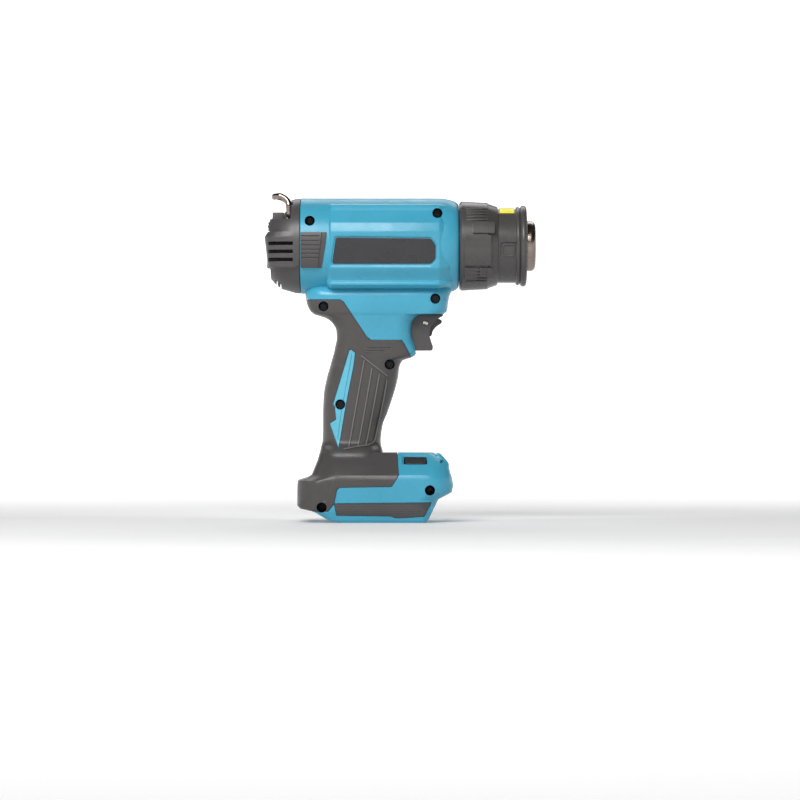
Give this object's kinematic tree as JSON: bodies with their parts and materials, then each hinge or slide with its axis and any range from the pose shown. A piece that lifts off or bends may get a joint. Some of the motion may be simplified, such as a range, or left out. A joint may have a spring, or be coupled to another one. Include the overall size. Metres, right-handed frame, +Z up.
{
  "type": "cordless heat gun",
  "caption": "Pistol-shaped cordless heat gun: blue and dark grey body, ribbed turning collar, steel nozzle, hanging hook, soft grip, foot with a battery slide.",
  "frame": {"origin": "bottom centre of the bounding box, on the plane that the foot stands on", "axes": "+X along the nozzle, out of its mouth; +Z up from the foot; -Y is the tool's right side"},
  "size_m": [0.1754, 0.0796, 0.2128],
  "materials": {
    "body_blue": "satin moulded plastic",
    "soft_grip": "matt soft overmould",
    "dark_plastic": "satin moulded plastic",
    "plate_grey": "satin printed foil",
    "chrome_wire": "bright",
    "nozzle_steel": "satin, heat tinted",
    "label_yellow": "satin foil",
    "black_screw": "black oxide",
    "motor_steel": "satin",
    "mica": "satin",
    "ceramic": "matt",
    "resistance_wire": "satin",
    "fan_white": "satin",
    "circuit_board": "satin",
    "terminal_brass": "bright",
    "lead_rubber": "satin"
  },
  "bodies": {
    "housing": {"housing_right": "body_blue", "grip_right": "soft_grip", "grip_insert_right": "body_blue", "foot_panel_right": "dark_plastic", "side_panel_right": "dark_plastic", "nameplate_right": "plate_grey", "housing_left": "body_blue", "grip_left": "soft_grip", "grip_insert_left": "body_blue", "foot_panel_left": "dark_plastic", "side_panel_left": "dark_plastic", "nameplate_left": "plate_grey", "rear_cover": "dark_plastic", "dial_potentiometer": "motor_steel", "nozzle_tube": "nozzle_steel", "mica_sleeve": "mica", "heater_core": "ceramic", "heater_coil": "resistance_wire", "heater_flange": "motor_steel", "thermal_cutout": "ceramic", "fan_motor": "motor_steel", "fan_shroud": "fan_white", "motor_mount": "fan_white", "trigger_switch": "dark_plastic", "control_board": "circuit_board", "terminal_block": "dark_plastic", "terminal_negative": "terminal_brass", "terminal_positive": "terminal_brass", "power_leads": "lead_rubber", "motor_leads": "lead_rubber", "housing_screw_1": "black_screw", "housing_screw_2": "black_screw", "housing_screw_3": "black_screw", "housing_screw_4": "black_screw", "housing_screw_5": "black_screw", "housing_screw_6": "black_screw", "housing_screw_7": "black_screw", "housing_screw_8": "black_screw"},
    "fan": {"fan_impeller": "fan_white"},
    "trigger_body": {"trigger": "dark_plastic", "switch_plunger": "fan_white", "lever_pin": "motor_steel"},
    "lever": {"lock_off_lever": "dark_plastic"},
    "hook": {"hanging_hook": "chrome_wire"},
    "dial": {"temperature_dial": "dark_plastic"},
    "collar": {"lock_ring": "dark_plastic"},
    "guard": {"nozzle_guard": "dark_plastic", "heat_label": "label_yellow"},
    "button": {"mode_button": "dark_plastic"}
  },
  "joints": [
    {"name": "fan_spin", "type": "hinge", "parent": "housing", "child": "fan", "pos_m": [-0.046, 0, 0.1788], "axis": [1, 0, 0], "continuous": true},
    {"name": "trigger_pull", "type": "slide", "parent": "housing", "child": "trigger_body", "axis": [-1, 0, 0], "range_m": [0, 0.006], "stiffness_N_per_m": 900, "springref_m": -0.003},
    {"name": "lever_squeeze", "type": "hinge", "parent": "trigger_body", "child": "lever", "pos_m": [0.0163, 0, 0.1288], "axis": [0, 1, 0], "range_deg": [0, 14], "stiffness_Nm_per_rad": 0.05, "springref_deg": -17.19},
    {"name": "hook_fold", "type": "hinge", "parent": "housing", "child": "hook", "pos_m": [-0.0718, 0, 0.1982], "axis": [0, -1, 0], "range_deg": [0, 50]},
    {"name": "dial_turn", "type": "hinge", "parent": "housing", "child": "dial", "pos_m": [-0.0792, 0, 0.1914], "axis": [0, 1, 0], "range_deg": [-135, 135]},
    {"name": "collar_turn", "type": "hinge", "parent": "housing", "child": "collar", "pos_m": [0.05, 0, 0.1788], "axis": [1, 0, 0], "range_deg": [0, 30]},
    {"name": "guard_pull", "type": "slide", "parent": "housing", "child": "guard", "axis": [1, 0, 0], "range_m": [0, 0.045]},
    {"name": "button_press", "type": "slide", "parent": "housing", "child": "button", "axis": [0, 0.6559, -0.7549], "range_m": [0, 0.0012], "stiffness_N_per_m": 1500, "springref_m": -0.0006}
  ]
}
